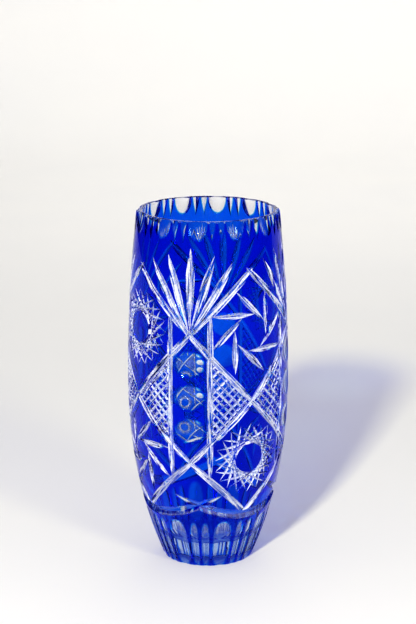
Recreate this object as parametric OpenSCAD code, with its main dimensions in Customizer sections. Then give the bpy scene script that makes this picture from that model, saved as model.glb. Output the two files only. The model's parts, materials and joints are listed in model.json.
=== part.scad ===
// Cut-to-clear crystal vase: a barrel of clear lead crystal cased in a thin layer of cobalt glass.
// Every deep cut goes right through the casing, so the cobalt stands on the crystal as separate islands.
// +Z is up. The origin is the centre of the foot, and the front lens panel faces -Y.
// A place on the wall is [angle, height]: the angle is counted from -Y towards +X.

/* [Body] */
// Height from the foot to the rim
vase_h = 250; // [245:1:255]
// Height of the widest point
belly_z = 130; // [126:1:134]
// Radius at the widest point
belly_r = 56.2; // [55.5:0.1:57]
// Radius at the rim
rim_r = 49.2; // [48.5:0.1:50]
// Radius at the foot
foot_r = 31.6; // [31:0.1:32.5]
// Glass thickness at the rim, crystal and casing together
rim_t = 4.1; // [3.8:0.1:4.6]
// Glass thickness low in the body
low_t = 8; // [7:0.5:9]
// Height of the inside floor
floor_z = 18; // [16:1:20]
// Thickness of the cobalt casing
casing_t = 0.8; // [0.6:0.1:1]

/* [Mitres] */
// Width of the long V cuts that divide the wall
mitre_w = 4.4; // [3.6:0.2:5]
// Depth of the long V cuts
mitre_d = 2; // [1.6:0.1:2.4]
// Half the angle that a lens panel spans
panel_a = 14.5; // [13:0.5:16]

/* [Lens cuts] */
// Depth of the hollow lens cuts
lens_d = 2.5; // [2:0.1:2.8]
// Radius of the wheel that cuts them
lens_wheel_r = 43; // [38:1:48]
// Radius of that wheel's rounded edge
lens_edge_r = 17.6; // [16:0.2:19]

/* [Stars] */
// Radius of a hobstar over its points
star_r = 26; // [24:0.5:27]
// Radius at the notches between its points
star_notch_r = 19; // [17:0.5:20]
// Number of points of a hobstar
star_points = 16; // [14:2:18]
// Radius of the plain button in an upper hobstar
upper_button_r = 12; // [11:0.5:13]
// Radius of the plain button in a lower hobstar
lower_button_r = 10.4; // [9:0.2:11]
// Length of a pinwheel leaf
leaf_len = 27; // [24:1:29]
// Width of a pinwheel leaf
leaf_w = 4.6; // [4:0.2:5]

/* [Rim and foot] */
// Turn of the rim and foot borders against the panels, in degrees
border_turn = 5; // [0:1:8]
// Width of a rim scallop at the lip
scallop_w = 13; // [12:0.5:14]
// Height of a rim scallop
scallop_h = 12.5; // [11:0.5:14]
// Width of a foot flute at the foot
flute_w = 12; // [11:0.5:13]
// Height of the foot flutes
flute_h = 38; // [35:1:39]

/* [Hidden] */
QUARTERS = [1, 2, 3, 4];
SIDES = ["left", "right"];
HALVES = [1, 2];

// four panels stand a quarter turn apart, with a field of stars between each two
QUARTER_A = 90;
HALF_A = 45;

// heights of the crossings: on a field's axis, on a panel's axis, and down to the foot border
PEAK_Z = 216;
FAN_Z = 174;
SIDE_Z = 126;
CROSS_Z = 83;
BAND_Z = 44;

// rise of the foot border's arcs, from their lowest point to where two of them cross
ARC_RISE = 9;
ARC_W = 6;

// rays of a fan: angle and height of the tip, and width
FAN_RAYS = [[0, 233, 5], [18, 228, 4.4], [-18, 228, 4.4], [32.5, 224, 4], [-32.5, 224, 4]];

// leaves of a pinwheel, and where the first one's root stands from the centre
LEAVES = 8;
SWIRL = [2, 8];

// room that an island leaves above and below the middle of a mitre
DROP = mitre_w * 0.75;

COBALT = [0.03, 0.12, 0.85, 0.8];
RIM_REPEATS = 12;
FOOT_REPEATS = 8;
LENS_Z = 130;
LENS_STEP = 23.5;
LENS_WINDOW = 19;

// half the angle between the two narrow flutes of a pair
RIM_PAIR_A = 3.2;
FOOT_PAIR_A = 5.4;

// bare crystal left at the lip and under the foot
EDGE = 0.6;

// levels of the wall's outline: even steps below the belly and above it
LEVELS = concat(
    [for (i = [0:8]) belly_z * i / 9],
    [for (i = [0:6]) belly_z + (vase_h - belly_z) * i / 6]
);

// outer radius of the vase: a barrel that draws in more strongly to the foot
function outer_r(z) = z > belly_z
    ? belly_r - (belly_r - rim_r) * pow((z - belly_z) / (vase_h - belly_z), 2)
    : belly_r - (belly_r - foot_r) * pow((belly_z - z) / belly_z, 2.2);

// the glass thins evenly from low in the body to the rim
function inner_r(z) = outer_r(z) - rim_t - (low_t - rim_t) * (vase_h - z) / vase_h;

// a place on the wall, as a point in space
function wall_point(p) = [outer_r(p[1]) * sin(p[0]), -outer_r(p[1]) * cos(p[0]), p[1]];

// seen square on from angle a, a place on the wall lies at [x, z]
function seen(p, a) = [outer_r(p[1]) * sin(p[0] - a), p[1]];

// a closed outline through corners [angle, height], each side following the wall
function outline(corners, n = 4) = [
    for (k = [0:len(corners) - 1], i = [0:n - 1])
        corners[k] + (corners[(k + 1) % len(corners)] - corners[k]) * i / n
];

// a star sits at the middle height of its field
function star_z(top_z, low_z) = (top_z + low_z) / 2;

// half the width of a mitre, as an angle round the wall at a height
function gap_a(z) = mitre_w / 2 / outer_r(z) * 180 / PI;

// a flat point turned about the origin
function turned(p, a) = [p[0] * cos(a) - p[1] * sin(a), p[0] * sin(a) + p[1] * cos(a)];

// height of the foot border's arc, at angle a from its lowest point
function arc_z(a) = BAND_Z + ARC_RISE * pow(a / HALF_A, 2);

// height of the arc that lies over angle a round the vase
function border_z(a) = arc_z((a - border_turn + 360) % QUARTER_A - HALF_A);

// a ring of wall between two depths below the outer surface
module ring_of_wall(r_out, r_in) {
    outside = [for (z = LEVELS) [outer_r(z) - r_out, z]];
    inside = [for (z = LEVELS) [outer_r(z) - r_in, z]];
    last = len(LEVELS) - 1;
    rotate_extrude($fn = 96)
        polygon(concat(outside, [for (i = [last:-1:0]) inside[i]]));
}

// a flat outline of [x, z] points, pushed through the wall at angle a
module through_wall(a, points) {
    rotate([0, 0, a])
        translate([0, -25, 0])
            rotate([90, 0, 0])
                linear_extrude(35)
                    polygon(points);
}

// one island of the casing at angle a, from its corners
module island(a, corners, n = 4) {
    intersection() {
        ring_of_wall(0, casing_t);
        through_wall(a, [for (p = outline(corners, n)) seen(p, a)]);
    }
}

// window that a flute opens in the casing: a slot of width w with a round end at z_end
module flute_window(a, w, z_end, z_deep) {
    side = sign(z_deep - z_end);
    r = w / 2;
    through_wall(a, concat(
        [for (t = [-90:22.5:90]) [r * sin(t), z_end + side * r * (1 - cos(t))]],
        [[r, z_deep + side], [-r, z_deep + side]]
    ));
}

// V cut along the wall from p to q, made by the edge of a ring that follows the wall
module mitre(p, q, w = mitre_w, d = mitre_d, over = 2, above = 3) {
    start = wall_point(p);
    end = wall_point(q);
    top = wall_point((p + q) / 2);
    along = (end - start) / norm(end - start);
    rise = top - (start + end) / 2;
    square = rise - (rise * along) * along;
    half_len = norm(end - start) / 2;
    sag = norm(square);
    out = square / sag;
    across = cross(out, along);
    ring_r = (half_len * half_len + sag * sag) / (2 * sag);
    centre = top - out * ring_r;
    half_a = asin(half_len / ring_r) + over / ring_r * 180 / PI;
    half_w = w / 2 * (1 + above / d);
    multmatrix([for (i = [0:2]) [out[i], along[i], across[i], centre[i]]])
        rotate([0, 0, -half_a])
            rotate_extrude(angle = 2 * half_a, $fn = 96)
                polygon([[ring_r - d, 0], [ring_r + above, -half_w], [ring_r + above, half_w]]);
}

// the long mitres of quarter q: two zigzags, one above and one below the panel's sides
module quarter_mitres(q) {
    a = q * QUARTER_A;
    for (s = [-1, 1]) {
        mitre([a, FAN_Z], [a + s * HALF_A, PEAK_Z]);
        mitre([a, FAN_Z], [a + s * HALF_A, SIDE_Z]);
        mitre([a, CROSS_Z], [a + s * HALF_A, SIDE_Z]);
        mitre([a, CROSS_Z], [a + s * HALF_A, BAND_Z]);
        mitre([a + s * panel_a, 76], [a + s * panel_a, 182]);
    }
}

// hollow lens cuts down the middle of panel q, each by a round-edged wheel
module lens_cuts(q) {
    for (i = [-1:1]) {
        z = LENS_Z + i * LENS_STEP;
        rotate([0, 0, q * QUARTER_A])
            translate([0, lens_d - outer_r(z) - lens_wheel_r, z])
                rotate_extrude($fn = 96)
                    translate([lens_wheel_r - lens_edge_r, 0])
                        circle(r = lens_edge_r, $fn = 48);
    }
}

// round flute at angle a, with no depth at z_end and depth d at z_deep
module flute(a, r, d, z_end, z_deep) {
    lean = atan((outer_r(z_deep) - d - outer_r(z_end)) / (z_deep - z_end));
    rotate([0, 0, a])
        translate([0, -outer_r(z_end), z_end])
            rotate([lean, 0, 0])
                translate([0, -r, 0])
                    cylinder(r = r, h = 2.4 * abs(z_deep - z_end), center = true, $fn = 48);
}

// rim border: a wide scallop and a pair of narrow flutes, in turn
module rim_cuts() {
    step = 360 / RIM_REPEATS;
    scallop_r = 12;
    scallop_d = scallop_w * scallop_w / 8 * (1 / scallop_r + 1 / rim_r);
    for (i = [0:RIM_REPEATS - 1]) {
        a = border_turn + i * step;
        flute(a, scallop_r, scallop_d, vase_h - scallop_h, vase_h);
        for (s = [-1, 1])
            flute(a + step / 2 + s * RIM_PAIR_A, 2.6, 1.1, vase_h - scallop_h - 2, vase_h);
    }
}

// the rim border's windows in the casing
module rim_windows() {
    step = 360 / RIM_REPEATS;
    for (i = [0:RIM_REPEATS - 1]) {
        a = border_turn + i * step;
        flute_window(a, scallop_w - 2, vase_h - scallop_h + 2, vase_h);
        for (s = [-1, 1])
            flute_window(a + step / 2 + s * RIM_PAIR_A, 2, vase_h - scallop_h, vase_h);
    }
}

// foot border: a wide flute and a pair of narrow flutes, in turn
module foot_cuts() {
    step = 360 / FOOT_REPEATS;
    flute_r = 16;
    flute_d = flute_w * flute_w / 8 * (1 / flute_r + 1 / foot_r);
    for (i = [0:FOOT_REPEATS - 1]) {
        a = border_turn + (i + 0.5) * step;
        flute(a, flute_r, flute_d, flute_h, 0);
        for (s = [-1, 1])
            flute(a + step / 2 + s * FOOT_PAIR_A, 3.4, 1.4, flute_h - 3, 0);
    }
}

// the foot border's windows in the casing
module foot_windows() {
    step = 360 / FOOT_REPEATS;
    for (i = [0:FOOT_REPEATS - 1]) {
        a = border_turn + (i + 0.5) * step;
        flute_window(a, flute_w - 2, flute_h - 6, 0);
        for (s = [-1, 1])
            flute_window(a + step / 2 + s * FOOT_PAIR_A, 3, flute_h - 8, 0);
    }
}

// clear crystal: everything inside the casing, hollowed from the rim down
module crystal_body() {
    hollow_z = [for (z = [floor_z + 12:20:vase_h - 1]) z];
    corner = [for (a = [0:22.5:90]) [
        inner_r(floor_z + 12) - 12 + 12 * sin(a),
        floor_z + 12 - 12 * cos(a)
    ]];
    color([0.93, 0.96, 1, 0.5])
        difference() {
            rotate_extrude($fn = 96)
                polygon(concat(
                    [[0, 0]],
                    [for (z = LEVELS) [outer_r(z) - casing_t, z]],
                    [[0, vase_h]]
                ));
            rotate_extrude($fn = 96)
                polygon(concat(
                    [[0, floor_z]],
                    corner,
                    [for (z = hollow_z) if (z > floor_z + 13) [inner_r(z), z]],
                    [[inner_r(vase_h), vase_h + 1], [0, vase_h + 1]]
                ));
            for (q = QUARTERS) {
                quarter_mitres(q);
                lens_cuts(q);
            }
            rim_cuts();
            foot_cuts();
        }
}

// cobalt from the rim border down to the zigzag of mitres, with the blades of the fans
module collar() {
    color(COBALT)
        difference() {
            ring_of_wall(0, casing_t);
            translate([0, 0, vase_h - EDGE])
                cylinder(r = 2 * belly_r, h = vase_h, $fn = 48);
            translate([0, 0, FAN_Z - vase_h])
                cylinder(r = 2 * belly_r, h = vase_h, $fn = 48);
            for (q = QUARTERS) {
                a = (q - 0.5) * QUARTER_A;
                through_wall(a, [for (p = outline([
                    [a, PEAK_Z + DROP],
                    [a - HALF_A, FAN_Z + DROP],
                    [a - HALF_A, FAN_Z - 4],
                    [a + HALF_A, FAN_Z - 4],
                    [a + HALF_A, FAN_Z + DROP]
                ])) seen(p, a)]);
                fan_cuts(q * QUARTER_A);
            }
            rim_windows();
        }
}

// the rays of a fan, as the windows that they open in the casing
module fan_cuts(a) {
    for (ray = FAN_RAYS) {
        root = [a + ray[0] * 0.05, FAN_Z + 1];
        tip = [a + ray[0], ray[1]];
        wide = root + (tip - root) * 0.68;
        half = [ray[2] / 2 / outer_r(FAN_Z) * 180 / PI, 0];
        blade = [root - half / 3, root + half / 3, wide + half, tip, wide - half];
        through_wall(a, [for (p = blade) seen(p, a)]);
    }
}

// cobalt strip with three hollow lenses, pointed above and below between the mitres
module lens_panel(q) {
    a = q * QUARTER_A;
    half = panel_a - gap_a(SIDE_Z);
    top_z = FAN_Z - DROP;
    low_z = CROSS_Z + DROP;
    shoulder_z = top_z - (FAN_Z - SIDE_Z) * half / HALF_A;
    hip_z = low_z + (SIDE_Z - CROSS_Z) * half / HALF_A;
    lens_w = LENS_WINDOW / 2;
    lens_h = lens_w * 0.84;
    color(COBALT)
        difference() {
            island(a, [
                [a, top_z],
                [a - half, shoulder_z],
                [a - half, hip_z],
                [a, low_z],
                [a + half, hip_z],
                [a + half, shoulder_z]
            ]);
            for (i = [-1:1])
                through_wall(a, [for (t = [0:15:345])
                    [lens_w * cos(t), LENS_Z + i * LENS_STEP + lens_h * sin(t)]]);
        }
}

// crosshatched triangle between a panel and the zigzag on side s of it
module hatch(q, s) {
    a = q * QUARTER_A;
    near = panel_a + gap_a(SIDE_Z);
    far = HALF_A - 1.6 * gap_a(SIDE_Z);
    color(COBALT)
        island(a + s * HALF_A / 2, [
            [a + s * near, FAN_Z - DROP - (FAN_Z - SIDE_Z) * near / HALF_A],
            [a + s * near, CROSS_Z + DROP + (SIDE_Z - CROSS_Z) * near / HALF_A],
            [a + s * far, SIDE_Z]
        ]);
}

// triangle between the lower zigzag and the foot border, under a panel
module gusset(q) {
    a = q * QUARTER_A;
    top_z = CROSS_Z - DROP;
    reach = 30;
    side_z = top_z - (CROSS_Z - BAND_Z) * reach / HALF_A;
    edge = [for (b = [-reach:10:reach]) [a + b, border_z(a + b) + ARC_W / 2]];
    color(COBALT)
        island(a, concat([[a + reach, side_z], [a, top_z], [a - reach, side_z]], edge), n = 2);
}

// diamond of casing round a field's axis
module field(a, top_z, side_z, low_z) {
    reach = HALF_A - 1.6 * gap_a(side_z);
    island(a, [
        [a, top_z - DROP],
        [a - reach, side_z],
        [a, low_z + DROP],
        [a + reach, side_z]
    ]);
}

// field with a hobstar cut in it
module star_field(a, top_z, side_z, low_z) {
    turn = 180 / star_points;
    centre = [0, star_z(top_z, low_z)];
    color(COBALT)
        difference() {
            field(a, top_z, side_z, low_z);
            through_wall(a, [for (i = [0:2 * star_points - 1])
                centre + (i % 2 == 0 ? star_r : star_notch_r) * [sin(i * turn), cos(i * turn)]]);
        }
}

// plain round button left standing in the middle of a hobstar
module star_button(a, z, r) {
    color(COBALT)
        intersection() {
            ring_of_wall(0, casing_t);
            translate([0, 0, z])
                rotate([90, 0, a])
                    cylinder(r = r, h = 2 * belly_r, $fn = 64);
        }
}

// field with a swirl of leaf cuts
module pinwheel_field(a, top_z, side_z, low_z) {
    centre = [0, star_z(top_z, low_z)];
    leaf = [[0, 0], [leaf_len / 2, leaf_w / 2], [leaf_len, 0], [leaf_len / 2, -leaf_w / 2]];
    color(COBALT)
        difference() {
            field(a, top_z, side_z, low_z);
            for (i = [0:LEAVES - 1])
                through_wall(a, [for (p = leaf) centre + turned(p + SWIRL, i * 360 / LEAVES)]);
        }
}

// cobalt between the foot border's arcs and the foot
module foot_skirt() {
    reach = HALF_A + 3;
    high_z = vase_h / 3;
    color(COBALT)
        difference() {
            ring_of_wall(0, casing_t);
            translate([0, 0, EDGE - vase_h])
                cylinder(r = 2 * belly_r, h = vase_h, $fn = 48);
            translate([0, 0, high_z - 10])
                cylinder(r = 2 * belly_r, h = vase_h, $fn = 48);
            for (q = QUARTERS) {
                a = (q + 0.5) * QUARTER_A + border_turn;
                arc = [for (b = [-reach:reach / 5:reach + 0.1]) [a + b, arc_z(b) - ARC_W / 2]];
                through_wall(a, [for (p = concat(arc, [[a + reach, high_z], [a - reach, high_z]])) seen(p, a)]);
            }
            foot_windows();
        }
}

crystal_body();
collar();
foot_skirt();
for (q = QUARTERS) {
    lens_panel(q);
    hatch(q, -1);
    hatch(q, 1);
    gusset(q);
}
for (h = HALVES) {
    star_a = h * 180 - HALF_A;
    wheel_a = h * 180 + HALF_A;
    star_field(star_a, PEAK_Z, FAN_Z, SIDE_Z);
    star_button(star_a, star_z(PEAK_Z, SIDE_Z), upper_button_r);
    pinwheel_field(wheel_a, PEAK_Z, FAN_Z, SIDE_Z);
    star_field(wheel_a, SIDE_Z, CROSS_Z, BAND_Z);
    star_button(wheel_a, star_z(SIDE_Z, BAND_Z), lower_button_r);
    pinwheel_field(star_a, SIDE_Z, CROSS_Z, BAND_Z);
}
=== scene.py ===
import json
import math

import bpy
import numpy as np
from mathutils import Matrix, Vector

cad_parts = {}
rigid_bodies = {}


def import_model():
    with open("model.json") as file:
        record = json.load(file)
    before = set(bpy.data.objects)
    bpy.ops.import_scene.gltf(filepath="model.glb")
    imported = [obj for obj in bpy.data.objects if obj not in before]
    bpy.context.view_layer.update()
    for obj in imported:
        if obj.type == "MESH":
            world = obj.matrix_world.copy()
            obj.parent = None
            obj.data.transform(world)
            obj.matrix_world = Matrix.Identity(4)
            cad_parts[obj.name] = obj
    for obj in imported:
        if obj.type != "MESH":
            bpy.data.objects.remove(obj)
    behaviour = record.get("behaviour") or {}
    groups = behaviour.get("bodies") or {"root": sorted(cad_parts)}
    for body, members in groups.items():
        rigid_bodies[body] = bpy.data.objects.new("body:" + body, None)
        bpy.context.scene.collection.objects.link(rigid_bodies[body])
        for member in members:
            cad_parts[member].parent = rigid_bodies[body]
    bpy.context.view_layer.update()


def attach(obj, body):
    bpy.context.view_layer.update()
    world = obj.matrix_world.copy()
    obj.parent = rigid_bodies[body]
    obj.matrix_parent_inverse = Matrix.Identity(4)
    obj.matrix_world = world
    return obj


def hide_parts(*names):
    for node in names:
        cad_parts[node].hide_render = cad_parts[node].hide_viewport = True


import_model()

# Sizes are in millimetres and angles in degrees, until smooth_normals() turns them into metres.
# A place on the wall is (angle, height): the angle is counted from -Y towards +X.
MM = 0.001
HEIGHT = 250.0
BELLY_Z = 130.0
BELLY_R = 56.2
RIM_R = 49.2
FOOT_R = 31.6
RIM_T = 4.1
LOW_T = 8.0
FLOOR_Z = 18.0
FLOOR_CORNER = 12.0
LIP = 1.0
CASING_T = 0.8
GAP = 0.02
EDGE = 0.6
TURNS = 256
LEVEL_STEP = 4.0

# the crossings of the long mitres
PEAK_Z = 216.0
FAN_Z = 174.0
SIDE_Z = 126.0
CROSS_Z = 83.0
BAND_Z = 44.0
HALF_A = 45.0
QUARTERS = range(4)
SIDES = (-1, 1)

# the edge of a lens panel, the middles of the stars and pinwheels, and the two borders,
# which are turned against the rest
PANEL_A = 14.5
UPPER_Z = (PEAK_Z + SIDE_Z) / 2 + 3
LOWER_Z = (SIDE_Z + BAND_Z) / 2
BORDER_TURN = 5.0
ARC_RISE = 9.0

# how far a cutter stands out of the wall, runs out of an edge, and is lifted to end just outside
CLEAR = 5.0
OVERRUN = 2.0
LIFT = 0.04

# cobalt takes the red at once, most of the green, and hardly any blue
COBALT = (0.0, 0.695, 0.985, 1)
COBALT_DENSITY = 8000
# the clear glass shows a tint only where it is thick, as in the solid foot
CRYSTAL = (0.1, 0.35, 0.8, 1)
CRYSTAL_DENSITY = 16

# faces keep the number of the surface they come from
KINDS = WALL, LINING, BORE, FACET, ARC, BASE, HOLLOW = range(7)
# how strong the frost from the wheel is on each kind: ten times covers it all over
GROUND = {FACET: 1.0, ARC: 0.2, BASE: 10.0}


# ---------------------------------------------------------------- the wall

def outer_r(z):
    """Outer radius at a height: a barrel that draws in more strongly to the foot."""
    z = np.asarray(z, float)
    above = BELLY_R - (BELLY_R - RIM_R) * ((z - BELLY_Z) / (HEIGHT - BELLY_Z)) ** 2
    share = np.clip((BELLY_Z - z) / BELLY_Z, 0, None)
    below = BELLY_R - (BELLY_R - FOOT_R) * share ** 2.2
    return np.where(z > BELLY_Z, above, below)


def inner_r(z):
    """Radius of the bore: the glass thins evenly towards the rim."""
    return outer_r(z) - RIM_T - (LOW_T - RIM_T) * (HEIGHT - np.asarray(z, float)) / HEIGHT


def surface_normal(radius_at, angle, z):
    """Outward normal of a turned surface, whose slope is taken over the millimetre round z."""
    lean = np.arctan(radius_at(z + 0.5) - radius_at(z - 0.5))
    turn = np.radians(angle)
    return np.stack([np.sin(turn) * np.cos(lean), -np.cos(turn) * np.cos(lean), -np.sin(lean)], -1)


def wall_normal(angle, z):
    return surface_normal(outer_r, angle, z)


def wall_point(angle, z):
    turn = np.radians(angle)
    return np.stack([outer_r(z) * np.sin(turn), -outer_r(z) * np.cos(turn), z], -1)


def place(centre, x, y):
    """The place on the wall that lies x to the right of a centre and y above it."""
    z = centre[1] + np.asarray(y, float)
    return np.stack([centre[0] + np.degrees(x / outer_r(z)), z], -1)


# ---------------------------------------------------------------- meshes

def mesh_object(name, points, faces, kinds, collection=None, grain=None):
    """The grain, if any, is one (across, run, number) for each corner of each face."""
    mesh = bpy.data.meshes.new(name)
    mesh.from_pydata(np.asarray(points, float).tolist(), [], faces)
    for _ in KINDS:
        mesh.materials.append(None)
    mesh.polygons.foreach_set("material_index", kinds)
    mark = mesh.attributes.new("grain", "FLOAT_VECTOR", "CORNER")
    if grain is not None:
        mark.data.foreach_set("vector", np.asarray(grain, float).ravel())
    mesh.update()
    piece = bpy.data.objects.new(name, mesh)
    (collection or bpy.context.scene.collection).objects.link(piece)
    return piece


def revolved(name, outline, kinds):
    """A closed solid turned from an outline of (radius, height) that runs up from axis to axis.

    There is one kind for each step of the outline."""
    turn = np.arange(TURNS) * 2 * math.pi / TURNS
    rings = outline[1:-1]
    points = [(0, 0, outline[0][1])]
    for r, z in rings:
        points += [(r * math.sin(a), -r * math.cos(a), z) for a in turn]
    points.append((0, 0, outline[-1][1]))
    top = len(points) - 1
    faces, face_kinds = [], []
    for j in range(TURNS):
        k = (j + 1) % TURNS
        faces.append((0, 1 + k, 1 + j))
        face_kinds.append(kinds[0])
        for i in range(len(rings) - 1):
            a = 1 + i * TURNS
            faces.append((a + j, a + k, a + TURNS + k, a + TURNS + j))
            face_kinds.append(kinds[i + 1])
        a = top - TURNS
        faces.append((a + j, a + k, top))
        face_kinds.append(kinds[-1])
    return mesh_object(name, points, faces, face_kinds)


def bend(r, z, radius, start, end, count):
    """Outline of a round corner about (r, z), by angles counted from outwards to upwards."""
    turns = np.radians(np.linspace(start, end, count))
    return [(r + radius * math.cos(turn), z + radius * math.sin(turn)) for turn in turns]


def swept(name, path, sections, kind, collection):
    """A closed cutter that follows a path of places on the wall.

    Each section is a ring of (across, out) points, square to the path.
    The grain of a point is (across, run along the path, number of the cut)."""
    path = np.asarray(path, float)
    centre = wall_point(path[:, 0], path[:, 1])
    out = wall_normal(path[:, 0], path[:, 1])
    along = np.gradient(centre, axis=0)
    across = np.cross(out, along)
    across /= np.linalg.norm(across, axis=1)[:, None]
    sections = np.asarray(sections, float)
    points = (
        centre[:, None]
        + across[:, None] * sections[..., 0:1]
        + out[:, None] * sections[..., 1:2]
    )
    count = sections.shape[1]
    faces = []
    for i in range(len(path) - 1):
        for k in range(count):
            a, b = i * count + k, i * count + (k + 1) % count
            faces.append((a, a + count, b + count, b))
    last = (len(path) - 1) * count
    faces.append(tuple(range(count)))
    faces.append(tuple(last + k for k in reversed(range(count))))
    steps = np.linalg.norm(np.diff(centre, axis=0), axis=1)
    run = np.concatenate([[0], np.cumsum(steps)])
    grain = np.zeros(points.shape)
    grain[..., 0] = sections[..., 0]
    grain[..., 1] = run[:, None]
    grain[..., 2] = len(collection.objects)
    corners = [v for face in faces for v in face]
    grain = grain.reshape(-1, 3)[corners]
    mesh_object(name, points.reshape(-1, 3), faces, [kind] * len(faces), collection, grain)


def straight(a, b, step=2.5):
    """Places from a to b, about a step apart."""
    a, b = np.asarray(a, float), np.asarray(b, float)
    length = np.linalg.norm(wall_point(*b) - wall_point(*a))
    count = max(6, int(length / step) + 1)
    return a + (b - a) * np.linspace(0, 1, count)[:, None]


def upright(angle, heights):
    """Places one above the other."""
    return np.stack([np.full(len(heights), angle), heights], -1)


def past_centre(centre, away, turn, along):
    """Places on a straight line that passes a centre at a distance, square to the spoke at turn."""
    x = away * math.cos(turn) - along * math.sin(turn)
    y = away * math.sin(turn) + along * math.cos(turn)
    return place(centre, x, y)


def bowed(count, fullness, peak=0.5):
    """Depth along a wheel cut, from 0 at the ends to 1: a fuller cut keeps its depth longer."""
    t = np.linspace(0, 1, count)
    t = np.where(t < peak, (t - peak) / peak, (t - peak) / (1 - peak))
    return 1 - np.abs(t) ** fullness


def v_cut(cuts, path, depths, low_side, high_side=None, kind=FACET):
    """V-shaped cut. The sides give the width per unit of depth, below and above the path."""
    high_side = low_side if high_side is None else high_side
    sections = [
        [(0, -d), (-(d + CLEAR) * low_side, CLEAR), ((d + CLEAR) * high_side, CLEAR)]
        for d in depths
    ]
    swept("cut", path, sections, kind, cuts)


def scooped(z, end, full, fullness=2.2):
    """Depth along an open flute, from 0 at its end to 1 where it runs out of the glass."""
    return 1 - np.abs(1 - (z - end) / (full - end)) ** fullness


def leaf_cut(cuts, a, b, depth, side, fullness=2.0, peak=0.5):
    """Straight V cut from a to b, that comes out of the glass at both ends."""
    path = straight(a, b)
    depths = depth * bowed(len(path), fullness, peak) - LIFT
    v_cut(cuts, path, depths, side)


def round_cut(cuts, path, radius, depths):
    """Flute with a round bottom of the given radius."""
    turn = np.radians(np.linspace(-70, 70, 15))
    arc = np.stack([radius * np.sin(turn), radius - radius * np.cos(turn)], -1)[::-1]
    sections = [arc + (0, -d) for d in depths]
    swept("flute", path, sections, HOLLOW, cuts)


def dish_cut(cuts, centre, half_w, half_h, depth):
    """Hollow lens: a shallow bowl, wider than tall, that is carried on past the wall."""
    rings, turns, reach = 14, 64, 1.15
    turn = np.arange(turns) * 2 * math.pi / turns
    share = np.linspace(0, reach, rings + 1)[1:]
    spots = [(0.0, 0.0, -depth)]
    for s in share:
        out = -depth * (1 - s * s)
        spots += [(s * half_w * math.sin(a), s * half_h * math.cos(a), out) for a in turn]
    spots += [(x, y, CLEAR) for x, y, _ in spots[-turns:]]
    spots = np.array(spots)
    places = place(centre, spots[:, 0], spots[:, 1])
    points = wall_point(places[:, 0], places[:, 1])
    points += wall_normal(places[:, 0], places[:, 1]) * spots[:, 2:]
    faces = [(0, 1 + j, 1 + (j + 1) % turns) for j in range(turns)]
    for i in range(rings):
        a = 1 + i * turns
        for j in range(turns):
            k = (j + 1) % turns
            faces.append((a + j, a + turns + j, a + turns + k, a + k))
    cap = 1 + rings * turns
    faces.append(tuple(cap + j for j in reversed(range(turns))))
    mesh_object("lens", points, faces, [HOLLOW] * len(faces), cuts)


# ---------------------------------------------------------------- the decoration

def long_mitres(cuts):
    """Diagonals that cross in the middle of each panel and halfway to the next, and the panel's
    two upright edges. A diagonal runs on past both crossings."""
    legs = (FAN_Z, PEAK_Z), (FAN_Z, SIDE_Z), (CROSS_Z, SIDE_Z), (CROSS_Z, BAND_Z)
    over_a, side, leg_depth, edge_depth = 3.2, 1.05, 2.3, 2.2
    edge_low, edge_high = 70, 190
    for q in QUARTERS:
        a = q * 90
        for s in SIDES:
            b = a + s * HALF_A
            for low, high in legs:
                over = (high - low) / 14
                start, end = (a - s * over_a, low - over), (b + s * over_a, high + over)
                leaf_cut(cuts, start, end, leg_depth, side, fullness=7)
            edge = a + s * PANEL_A
            leaf_cut(cuts, (edge, edge_low), (edge, edge_high), edge_depth, side, fullness=8)


# each ray's turn from the middle of the fan, the height of its tip, and its depth
FAN_RAYS = ((0, 233, 2.7), (18, 228, 2.5), (-18, 228, 2.5), (32.5, 224, 2.3), (-32.5, 224, 2.3))


def fans(cuts):
    spread_at_root = 0.02
    for q in QUARTERS:
        a = q * 90
        for turn, z, depth in FAN_RAYS:
            root, tip = (a + turn * spread_at_root, FAN_Z + 1), (a + turn, z)
            leaf_cut(cuts, root, tip, depth, side=1.25, fullness=1.6, peak=0.62)


def lens_panels(cuts):
    middle_z, pitch = 130, 23.5
    for q in QUARTERS:
        for i in (-1, 0, 1):
            centre = q * 90.0, middle_z + pitch * i
            dish_cut(cuts, centre, half_w=11.3, half_h=9.5, depth=2.4)


def hatching(cuts):
    """Crosshatch of fine cuts in the triangles beside the panels.

    The triangle is laid flat: x is the way round the wall from the middle of the panel."""
    pitch, shortest = 4.2, 2
    side_r = float(outer_r(SIDE_Z))
    side_x = math.radians(HALF_A) * side_r
    near_x = math.radians(PANEL_A) * side_r
    corners = [
        (near_x, FAN_Z - (FAN_Z - SIDE_Z) * near_x / side_x),
        (near_x, CROSS_Z + (SIDE_Z - CROSS_Z) * near_x / side_x),
        (side_x, SIDE_Z),
    ]
    for q in QUARTERS:
        for s in SIDES:
            for rise in (SIDE_Z - FAN_Z, SIDE_Z - CROSS_Z):
                slope = rise / side_x
                step = pitch * math.hypot(1, slope)
                offsets = [z - slope * x for x, z in corners]
                level = min(offsets) + step
                while level < max(offsets) - step * 0.4:
                    ends = crossing(corners, slope, level)
                    if ends and ends[1][0] - ends[0][0] > shortest:
                        start, end = ((q * 90 + s * math.degrees(x / side_r), z) for x, z in ends)
                        leaf_cut(cuts, start, end, depth=1.35, side=0.75, fullness=10)
                    level += step


def crossing(corners, slope, level):
    """Where the line z = slope x + level meets the sides of a triangle, from left to right."""
    found = []
    for k in range(3):
        (x0, z0), (x1, z1) = corners[k], corners[(k + 1) % 3]
        g0, g1 = z0 - slope * x0 - level, z1 - slope * x1 - level
        if g0 * g1 < 0:
            t = g0 / (g0 - g1)
            found.append((x0 + (x1 - x0) * t, z0 + (z1 - z0) * t))
    return sorted(found) if len(found) == 2 else None


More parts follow.
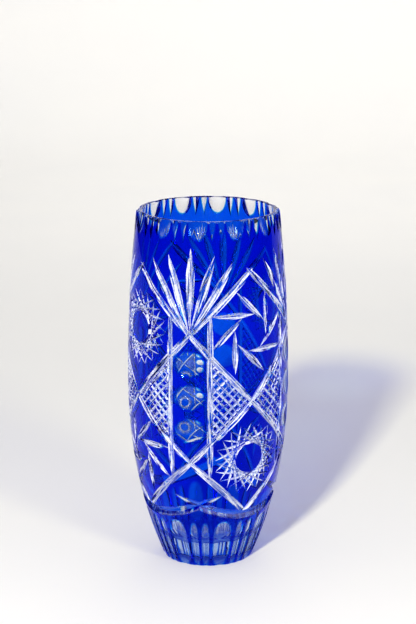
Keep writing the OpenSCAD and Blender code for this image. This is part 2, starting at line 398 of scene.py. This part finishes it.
def hobstar(cuts, centre, radius, points=20, skip=7, depth=1.8, side=0.75):
    """Star polygon of fine cuts, which leaves a plain button in its middle."""
    away = radius * math.cos(math.pi * skip / points)
    half = math.sqrt(radius ** 2 - away ** 2)
    along = np.linspace(-half, half, 22)
    depths = depth * bowed(len(along), fullness=2.6) - LIFT
    for k in range(points):
        turn = 2 * math.pi * (k + 0.5) / points
        v_cut(cuts, past_centre(centre, away, turn, along), depths, side)


def pinwheel(cuts, centre, away, hand, leaves=8, depth=2.3, side=1.0):
    """Swirl of leaf cuts, each square to a spoke, that starts a little before it."""
    along = np.linspace(-3, 28, 14) * hand
    depths = depth * bowed(len(along), fullness=1.8, peak=0.55) - LIFT
    for k in range(leaves):
        turn = 2 * math.pi * k / leaves
        v_cut(cuts, past_centre(centre, away, turn, along), depths, side)


def stars(cuts):
    """A star and a pinwheel in each field, one above the other, that change places all round."""
    for q in QUARTERS:
        a = HALF_A + q * 90
        if q % 2:
            hobstar(cuts, (a, UPPER_Z), radius=26.5)
            pinwheel(cuts, (a, LOWER_Z), away=8, hand=-1)
        else:
            pinwheel(cuts, (a, UPPER_Z), away=12.5, hand=1)
            hobstar(cuts, (a, LOWER_Z), radius=26)


def foot_arcs(cuts):
    """The wall is undercut down to a steep step, on arcs whose ends run on past their crossings."""
    reach, below, depth = HALF_A + 20, 4.2, 3.7
    t = np.linspace(-1, 1, 60) * reach
    z = BAND_Z - below + ARC_RISE * (t / HALF_A) ** 2
    depths = depth * bowed(len(t), fullness=6) - LIFT
    for q in QUARTERS:
        path = np.stack([q * 90 + HALF_A + BORDER_TURN + t, z], -1)
        v_cut(cuts, path, depths, low_side=0.45, high_side=1.6, kind=ARC)


def flute_depth(width, radius, wall_r):
    """How deep a flute of this radius goes into a round wall to come out this wide."""
    return width ** 2 / 8 * (1 / radius + 1 / wall_r)


def rim_border(cuts):
    """Scallops open to the rim, with a pair of narrow cuts between each two."""
    count, radius, height, width, pair_a = 12, 12.0, 13.5, 15.4, 3.6
    narrow_depth, narrow_side = 2.1, 1.55
    step, low, top = 360 / count, HEIGHT - height, HEIGHT + OVERRUN
    z = np.linspace(low - OVERRUN, top, 16)
    scallop = flute_depth(width, radius, RIM_R) * scooped(z, low, top)
    narrow = narrow_depth * scooped(z, low - 1, top, fullness=1.6)
    for i in range(count):
        a = BORDER_TURN + i * step
        round_cut(cuts, upright(a, z), radius, scallop)
        for s in SIDES:
            path = upright(a + step / 2 + s * pair_a, z)
            v_cut(cuts, path, narrow, narrow_side, kind=HOLLOW)


def oval(z, end, middle=21.0, at_foot=0.3, fullness=3.5):
    """Depth along a foot flute: it grows shallow again towards the foot."""
    above = 1 - np.abs((z - middle) / (end - middle)) ** fullness
    below = 1 - (1 - at_foot) * np.abs((z - middle) / middle) ** fullness
    return np.where(z > middle, above, below)


def foot_border(cuts):
    """Long flutes down to the foot, with a pair of narrow ones between each two."""
    count, radius, height, width, pair_a = 8, 16.0, 38.0, 13.5, 5.4
    narrow_depth, narrow_radius = 1.5, 4.0
    step = 360 / count
    z = np.linspace(-OVERRUN, height + 1, 28)
    flute = flute_depth(width, radius, FOOT_R) * oval(z, height)
    narrow = narrow_depth * oval(z, height - 1)
    for i in range(count):
        a = BORDER_TURN + (i + 0.5) * step
        round_cut(cuts, upright(a, z), radius, flute)
        for s in SIDES:
            round_cut(cuts, upright(a + step / 2 + s * pair_a, z), narrow_radius, narrow)


# ---------------------------------------------------------------- solids

def cut_away(piece, other):
    """Takes an object, or all the objects of a collection at once, away from a piece."""
    step = piece.modifiers.new("step", "BOOLEAN")
    step.operation = "DIFFERENCE"
    step.solver = "MANIFOLD"
    if isinstance(other, bpy.types.Collection):
        step.operand_type = "COLLECTION"
        step.collection = other
    else:
        step.object = other
    graph = bpy.context.evaluated_depsgraph_get()
    mesh = bpy.data.meshes.new_from_object(piece.evaluated_get(graph))
    piece.modifiers.clear()
    piece.data = mesh


def wall_levels(low, high):
    """Heights from low to high, about a level step apart."""
    count = int(round((high - low) / LEVEL_STEP))
    return [float(z) for z in np.linspace(low, high, count + 1)]


def crystal_blank():
    """Everything inside the casing, hollowed from the rim down, with a rounded lip."""
    hollow_up, chamfer = 0.2, 0.8
    levels = wall_levels(chamfer, HEIGHT - LIP)
    lip_outside = bend(RIM_R - CASING_T - LIP, HEIGHT - LIP, LIP, 15, 90, 6)
    outline = [(0, hollow_up), (float(outer_r(0)) - CASING_T - chamfer, 0)]
    outline += [(float(outer_r(z)) - CASING_T, z) for z in levels]
    outline += lip_outside + [(0, HEIGHT)]
    kinds = [BASE, HOLLOW] + [WALL] * (len(levels) - 1) + [HOLLOW] * (len(lip_outside) + 1)
    blank = revolved("crystal_body", outline, kinds)
    corner_z = FLOOR_Z + FLOOR_CORNER
    corner_r = float(inner_r(corner_z)) - FLOOR_CORNER
    lip_r = float(inner_r(HEIGHT)) + LIP
    bore = [(0, FLOOR_Z)] + bend(corner_r, corner_z, FLOOR_CORNER, -90, 0, 12)
    bore += [(float(inner_r(z)), z) for z in wall_levels(corner_z, HEIGHT - LIP)[1:]]
    bore += bend(lip_r, HEIGHT - LIP, LIP, 165, 90, 6)
    bore += [(lip_r, HEIGHT + OVERRUN), (0, HEIGHT + OVERRUN)]
    hollow = revolved("bore", bore, [BORE] * (len(bore) - 1))
    cut_away(blank, hollow)
    bpy.data.objects.remove(hollow)
    return blank


def casing_blank():
    """The cobalt layer before any cut: a thin sleeve over the whole wall."""
    top = HEIGHT - LIP
    levels = wall_levels(EDGE, top)
    outline = [(0, EDGE)] + [(float(outer_r(z)), z) for z in levels] + [(0, top)]
    sleeve = revolved("casing", outline, [HOLLOW] + [WALL] * (len(levels) - 1) + [HOLLOW])
    inside = [float(outer_r(z)) - CASING_T + GAP for z in levels]
    outline = [(0, EDGE - OVERRUN), (inside[0], EDGE - OVERRUN)] + list(zip(inside, levels))
    outline += [(inside[-1], HEIGHT + OVERRUN), (0, HEIGHT + OVERRUN)]
    core = revolved("core", outline, [LINING] * (len(outline) - 1))
    cut_away(sleeve, core)
    bpy.data.objects.remove(core)
    return sleeve


def all_cuts():
    cuts = bpy.data.collections.new("cuts")
    bpy.context.scene.collection.children.link(cuts)
    fields = long_mitres, fans, lens_panels, hatching, stars
    borders = foot_arcs, rim_border, foot_border
    for family in fields + borders:
        family(cuts)
    return cuts


def smooth_normals(piece, sharpest=18):
    """Round surfaces get their true normals; cuts stay smooth along and sharp at their edges.

    This is also where the mesh goes from millimetres to metres."""
    mesh = piece.data
    mesh.polygons.foreach_set("use_smooth", [True] * len(mesh.polygons))
    mesh.set_sharp_from_angle(angle=math.radians(sharpest))
    corners = len(mesh.loops)
    normals = np.zeros(corners * 3)
    mesh.corner_normals.foreach_get("vector", normals)
    normals = normals.reshape(-1, 3)
    vertex = np.zeros(corners, int)
    mesh.loops.foreach_get("vertex_index", vertex)
    points = np.zeros(len(mesh.vertices) * 3)
    mesh.vertices.foreach_get("co", points)
    points = points.reshape(-1, 3)[vertex]
    kinds = np.zeros(len(mesh.polygons), int)
    mesh.polygons.foreach_get("material_index", kinds)
    totals = np.zeros(len(mesh.polygons), int)
    mesh.polygons.foreach_get("loop_total", totals)
    kind = np.repeat(kinds, totals)
    angle = np.degrees(np.arctan2(points[:, 0], -points[:, 1]))
    true = wall_normal(angle, points[:, 2])
    normals[kind == WALL] = true[kind == WALL]
    height = points[:, 2]
    straight_bore = (height > FLOOR_Z + FLOOR_CORNER) & (height < HEIGHT - LIP - 0.1)
    inward = (kind == BORE) & straight_bore
    normals[inward] = -surface_normal(inner_r, angle, height)[inward]
    mesh.transform(Matrix.Scale(MM, 4))
    mesh.normals_split_custom_set(normals.tolist())


# ---------------------------------------------------------------- materials

# noise features to the metre
POLISH_SCALE = 260
FROST_SCALE = 900
# features to the millimetre, across a cut and along it: the lines that grinding leaves along
# the cut, and the ridges that the wheel leaves across it
LINES_PER_MM = (1.1, 0.06)
RIDGES_PER_MM = (0.3, 0.9)
CUT_TO_CUT = 3.7


def new_material(name):
    material = bpy.data.materials.new(name)
    material.use_nodes = True
    nodes = material.node_tree.nodes
    nodes.clear()
    output = nodes.new("ShaderNodeOutputMaterial")
    return material, nodes, material.node_tree.links, output


def noise(nodes, links, scale):
    coords = nodes.new("ShaderNodeTexCoord")
    cloud = nodes.new("ShaderNodeTexNoise")
    cloud.inputs["Scale"].default_value = scale
    cloud.inputs["Detail"].default_value = 3
    links.new(coords.outputs["Object"], cloud.inputs["Vector"])
    return cloud.outputs["Fac"]


def streaks(nodes, links, across, along):
    """Noise that follows each cut: so many features to the millimetre across it and along it."""
    spread = nodes.new("ShaderNodeMapping")
    spread.inputs["Scale"].default_value = (across, along, CUT_TO_CUT)
    cloud = nodes.new("ShaderNodeTexNoise")
    cloud.inputs["Scale"].default_value = 1
    cloud.inputs["Detail"].default_value = 2
    grain = nodes.new("ShaderNodeAttribute")
    grain.attribute_name = "grain"
    links.new(grain.outputs["Vector"], spread.inputs["Vector"])
    links.new(spread.outputs["Vector"], cloud.inputs["Vector"])
    return cloud.outputs["Fac"]


def combined(nodes, links, operation, first, second):
    both = nodes.new("ShaderNodeMath")
    both.operation = operation
    both.use_clamp = True
    links.new(first, both.inputs[0])
    links.new(second, both.inputs[1])
    return both.outputs["Value"]


def scaled(nodes, links, value, low, high, half_range=0.15):
    """The middle of a noise's range, spread from low to high."""
    spread = nodes.new("ShaderNodeMapRange")
    spread.inputs["From Min"].default_value = 0.5 - half_range
    spread.inputs["From Max"].default_value = 0.5 + half_range
    spread.inputs["To Min"].default_value = low
    spread.inputs["To Max"].default_value = high
    links.new(value, spread.inputs["Value"])
    return spread.outputs["Result"]


def mixed(nodes, links, share, first, second):
    mix = nodes.new("ShaderNodeMixShader")
    links.new(share, mix.inputs["Fac"])
    links.new(first, mix.inputs[1])
    links.new(second, mix.inputs[2])
    return mix.outputs["Shader"]


def face_mark(nodes, name):
    mark = nodes.new("ShaderNodeAttribute")
    mark.attribute_name = name
    return mark.outputs["Fac"]


def glass(name, shadow, shine, tint, density):
    """Polished lead crystal with a trace of unevenness and a shine in the colour of the glass.

    The marks on the faces tell where the wheel has left it frosted, and where it is fused to the
    other glass and light goes straight on. Frost seen from inside the glass only glows. Shadow and
    diffuse rays pass straight through, dimmed by what the glass would turn aside."""
    material, nodes, links, output = new_material(name)
    polished = nodes.new("ShaderNodeBsdfPrincipled")
    polished.inputs["Base Color"].default_value = (0.99, 0.995, 1, 1)
    polished.inputs["Transmission Weight"].default_value = 1
    polished.inputs["IOR"].default_value = 1.54
    polished.inputs["Specular IOR Level"].default_value = 0.2
    polished.inputs["Specular Tint"].default_value = (*shine, 1)
    polish = noise(nodes, links, POLISH_SCALE)
    links.new(scaled(nodes, links, polish, 0.0, 0.015), polished.inputs["Roughness"])
    ground = nodes.new("ShaderNodeBsdfPrincipled")
    ground.inputs["Base Color"].default_value = (0.85, 0.87, 0.92, 1)
    ground.inputs["Roughness"].default_value = 0.5
    glow = nodes.new("ShaderNodeBsdfTranslucent")
    glow.inputs["Color"].default_value = (0.95, 0.97, 1, 1)
    fine = noise(nodes, links, FROST_SCALE)
    side = nodes.new("ShaderNodeNewGeometry")
    share = scaled(nodes, links, fine, 0.1, 0.35)
    share = combined(nodes, links, "MAXIMUM", share, side.outputs["Backfacing"])
    white = mixed(nodes, links, share, ground.outputs["BSDF"], glow.outputs["BSDF"])
    lines = scaled(nodes, links, streaks(nodes, links, *LINES_PER_MM), -0.32, 0.9, 0.11)
    ridges = scaled(nodes, links, streaks(nodes, links, *RIDGES_PER_MM), 0.0, 0.3, 0.12)
    frost = combined(nodes, links, "ADD", lines, ridges)
    frost = combined(nodes, links, "MULTIPLY", frost, face_mark(nodes, "ground"))
    surface = mixed(nodes, links, frost, polished.outputs["BSDF"], white)
    through = nodes.new("ShaderNodeBsdfTransparent")
    surface = mixed(nodes, links, face_mark(nodes, "fused"), surface, through.outputs["BSDF"])
    dimmed = nodes.new("ShaderNodeBsdfTransparent")
    dimmed.inputs["Color"].default_value = (*shadow, 1)
    path = nodes.new("ShaderNodeLightPath")
    shadow_ray, diffuse_ray = path.outputs["Is Shadow Ray"], path.outputs["Is Diffuse Ray"]
    either = combined(nodes, links, "MAXIMUM", shadow_ray, diffuse_ray)
    surface = mixed(nodes, links, either, surface, dimmed.outputs["BSDF"])
    links.new(surface, output.inputs["Surface"])
    volume = nodes.new("ShaderNodeVolumeAbsorption")
    volume.inputs["Color"].default_value = tint
    volume.inputs["Density"].default_value = density
    links.new(volume.outputs["Volume"], output.inputs["Volume"])
    return material


def finish(piece, material, fused_kind):
    """Marks the ground and the fused faces, and puts the one material on all of them."""
    mesh = piece.data
    kinds = np.zeros(len(mesh.polygons), int)
    mesh.polygons.foreach_get("material_index", kinds)
    for name, shares in (("ground", GROUND), ("fused", {fused_kind: 1.0})):
        mark = mesh.attributes.new(name, "FLOAT", "FACE")
        mark.data.foreach_set("value", [shares.get(kind, 0.0) for kind in kinds])
    mesh.polygons.foreach_set("material_index", kinds * 0)
    mesh.materials.clear()
    mesh.materials.append(material)


# ---------------------------------------------------------------- build

def zone_of(angle, z):
    """The CAD node that a place on the casing belongs to.

    Quarter 4 is the front panel, and quarters 1 to 3 follow it anticlockwise from above."""
    button_r = 4
    angle %= 360
    quarter = int(round(angle / 90)) % 4 or 4
    off = (angle + 45) % 90 - 45
    share = abs(off) / HALF_A
    if z > FAN_Z + (PEAK_Z - FAN_Z) * share:
        return "collar"
    if CROSS_Z + (SIDE_Z - CROSS_Z) * share < z < FAN_Z + (SIDE_Z - FAN_Z) * share:
        if abs(off) < PANEL_A:
            return f"lens_panel_{quarter}"
        return f"hatch_{'left' if off < 0 else 'right'}_{quarter}"
    arc_off = (angle - BORDER_TURN) % 90 - 45
    if z < BAND_Z + ARC_RISE * (arc_off / HALF_A) ** 2:
        return "foot_skirt"
    if z < CROSS_Z + (BAND_Z - CROSS_Z) * share:
        return f"gusset_{quarter}"
    diagonal = int(angle // 90)
    half = 1 if diagonal in (1, 2) else 2
    upper = z > SIDE_Z
    level, middle = ("upper", UPPER_Z) if upper else ("lower", LOWER_Z)
    if (diagonal in (1, 3)) != upper:
        return f"{level}_pinwheel_field_{half}"
    x = math.radians(angle - 45 - 90 * diagonal) * float(outer_r(z))
    button = math.hypot(x, z - middle) < button_r
    return f"{level}_star_{'button' if button else 'field'}_{half}"


def islands(mesh):
    """For each vertex, the lowest vertex of the closed island that it is part of."""
    label = np.arange(len(mesh.vertices))
    edges = np.zeros(len(mesh.edges) * 2, int)
    mesh.edges.foreach_get("vertices", edges)
    a, b = edges.reshape(-1, 2).T
    while True:
        before = label.copy()
        low = np.minimum(label[a], label[b])
        np.minimum.at(label, a, low)
        np.minimum.at(label, b, low)
        label = label[label]
        if (label == before).all():
            return label


def split_casing(casing):
    """One object for each CAD node, with all the islands of the casing that lie in its place."""
    border = 6
    mesh = casing.data
    label = islands(mesh)
    points = np.zeros(len(mesh.vertices) * 3)
    mesh.vertices.foreach_get("co", points)
    points = points.reshape(-1, 3)
    grain = np.zeros(len(mesh.loops) * 3)
    mesh.attributes["grain"].data.foreach_get("vector", grain)
    grain = grain.reshape(-1, 3)
    owner = {}
    for island in np.unique(label):
        part = points[label == island]
        bottom, top = part[:, 2].min(), part[:, 2].max()
        if top > HEIGHT - border or bottom < border:
            owner[island] = "collar" if top > HEIGHT / 2 else "foot_skirt"
            continue
        x, y, z = part.mean(axis=0)
        owner[island] = zone_of(math.degrees(math.atan2(x, -y)), z)
    by_node = {}
    for polygon in mesh.polygons:
        by_node.setdefault(owner[label[polygon.vertices[0]]], []).append(polygon)
    pieces = {}
    for node, held in by_node.items():
        used = sorted({v for polygon in held for v in polygon.vertices})
        number = {v: i for i, v in enumerate(used)}
        faces = [tuple(number[v] for v in polygon.vertices) for polygon in held]
        kinds = [polygon.material_index for polygon in held]
        corners = [i for polygon in held for i in polygon.loop_indices]
        pieces[node] = mesh_object(node, points[used], faces, kinds, grain=grain[corners])
    bpy.data.objects.remove(casing)
    return pieces


cuts = all_cuts()
crystal = crystal_blank()
casing = casing_blank()
cut_away(crystal, cuts)
cut_away(casing, cuts)
for cutter in list(cuts.objects):
    bpy.data.objects.remove(cutter)
bpy.data.collections.remove(cuts)
pieces = {"crystal_body": crystal, **split_casing(casing)}

clear = glass(
    "clear_crystal",
    shadow=(0.56, 0.67, 0.88),
    shine=(0.3, 0.45, 0.9),
    tint=CRYSTAL,
    density=CRYSTAL_DENSITY,
)
blue = glass(
    "cobalt_glass",
    shadow=(0.98, 0.98, 0.96),
    shine=(0.05, 0.2, 0.9),
    tint=COBALT,
    density=COBALT_DENSITY,
)

for node, piece in pieces.items():
    smooth_normals(piece)
    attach(piece, "root")
    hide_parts(node)
    if node == "crystal_body":
        finish(piece, clear, WALL)
    else:
        finish(piece, blue, LINING)


# ---------------------------------------------------------------- stage, light and camera

def pale_paper(name):
    material, nodes, links, output = new_material(name)
    body = nodes.new("ShaderNodeBsdfPrincipled")
    body.inputs["Roughness"].default_value = 0.85
    body.inputs["Specular IOR Level"].default_value = 0.2
    coords = nodes.new("ShaderNodeTexCoord")
    grain = nodes.new("ShaderNodeTexNoise")
    grain.inputs["Scale"].default_value = 6
    ramp = nodes.new("ShaderNodeValToRGB")
    ramp.color_ramp.elements[0].color = (0.86, 0.86, 0.86, 1)
    ramp.color_ramp.elements[1].color = (0.89, 0.885, 0.87, 1)
    links.new(coords.outputs["Object"], grain.inputs["Vector"])
    links.new(grain.outputs["Fac"], ramp.inputs["Fac"])
    links.new(ramp.outputs["Color"], body.inputs["Base Color"])
    links.new(body.outputs["BSDF"], output.inputs["Surface"])
    return material


def sweep_floor():
    """Flat paper that curves up into a wall behind."""
    flat_r, bend_r, wall_h, turns = 1.7, 0.6, 1.6, 96
    wall_edge = -0.6
    outline = [(0.3 * i, 0.0) for i in range(1, 6)] + [(flat_r, 0.0)]
    outline += bend(flat_r, bend_r, bend_r, -80, 0, 9)
    outline.append((flat_r + bend_r, wall_h))
    points, faces = [(0, 0, 0)], []
    for r, z in outline:
        for j in range(turns):
            a = 2 * math.pi * j / turns
            points.append((r * math.sin(a), -r * math.cos(a), z))
    for j in range(turns):
        k = (j + 1) % turns
        faces.append((0, 1 + j, 1 + k))
        in_front = math.cos(2 * math.pi * (j + 0.5) / turns) > wall_edge
        for i in range(len(outline) - 1):
            if in_front and outline[i + 1][1] > 0:
                continue
            a = 1 + i * turns
            faces.append((a + j, a + turns + j, a + turns + k, a + k))
    mesh = bpy.data.meshes.new("paper_floor")
    mesh.from_pydata(points, [], faces)
    mesh.polygons.foreach_set("use_smooth", [True] * len(faces))
    mesh.materials.append(pale_paper("pale_paper"))
    floor = bpy.data.objects.new("paper_floor", mesh)
    bpy.context.scene.collection.objects.link(floor)


# name, place, aim, width, power and colour, in metres and watts
LIGHTS = (
    ("key", (-0.09, -1.8, 1.19), (0, 0, 0.1), 0.16, 31, (1, 0.98, 0.96)),
    ("fill", (1.1, -0.95, 0.8), (0, 0, 0.1), 0.3, 5, (1, 0.98, 0.95)),
    ("backdrop_wash", (-0.1, 1.3, 1.3), (-0.5, 2.0, 0), 0.9, 5.6, (1, 0.97, 0.91)),
)


def area_light(name, place_at, aim, size, power, colour):
    lamp = bpy.data.lights.new(name, "AREA")
    lamp.shape = "SQUARE"
    lamp.size = size
    lamp.energy = power
    lamp.color = colour
    light = bpy.data.objects.new(name, lamp)
    light.location = place_at
    light.rotation_euler = (Vector(aim) - Vector(place_at)).to_track_quat("-Z", "Y").to_euler()
    bpy.context.scene.collection.objects.link(light)


def background(nodes, colour, strength):
    light = nodes.new("ShaderNodeBackground")
    light.inputs["Color"].default_value = (*colour, 1)
    light.inputs["Strength"].default_value = strength
    return light.outputs["Background"]


def studio():
    """Bright where the camera sees past the paper, soft on the paper, and dim in the glass."""
    world = bpy.data.worlds.new("studio")
    world.use_nodes = True
    nodes, links = world.node_tree.nodes, world.node_tree.links
    nodes.clear()
    path = nodes.new("ShaderNodeLightPath")
    seen = background(nodes, (1.0, 0.99, 0.97), 0.8)
    ambient = background(nodes, (0.96, 0.97, 1.0), 0.27)
    dim = background(nodes, (0.9, 0.95, 1.0), 0.07)
    unseen = mixed(nodes, links, path.outputs["Is Diffuse Ray"], dim, ambient)
    sky = mixed(nodes, links, path.outputs["Is Camera Ray"], unseen, seen)
    output = nodes.new("ShaderNodeOutputWorld")
    links.new(sky, output.inputs["Surface"])
    bpy.context.scene.world = world
    for light in LIGHTS:
        area_light(*light)


def camera():
    """Low over the table, a little to the right of the front panel."""
    azimuth = math.radians(13)
    away, eye_z, aim_z = 1.2542, 0.4915, 0.1765
    focal_length, sensor_width = 107, 36
    lens = bpy.data.cameras.new("camera")
    lens.sensor_width = sensor_width
    lens.lens = focal_length
    eye = bpy.data.objects.new("camera", lens)
    eye.location = (away * math.sin(azimuth), -away * math.cos(azimuth), eye_z)
    aim = Vector((0, 0, aim_z)) - eye.location
    eye.rotation_euler = aim.to_track_quat("-Z", "Y").to_euler()
    bpy.context.scene.collection.objects.link(eye)
    bpy.context.scene.camera = eye


sweep_floor()
studio()
camera()

scene = bpy.context.scene
scene.view_settings.view_transform = "Standard"
scene.view_settings.look = "High Contrast"
scene.cycles.max_bounces = 32
scene.cycles.transmission_bounces = 32
scene.cycles.glossy_bounces = 16
scene.cycles.transparent_max_bounces = 64
scene.cycles.caustics_refractive = True
scene.cycles.caustics_reflective = True
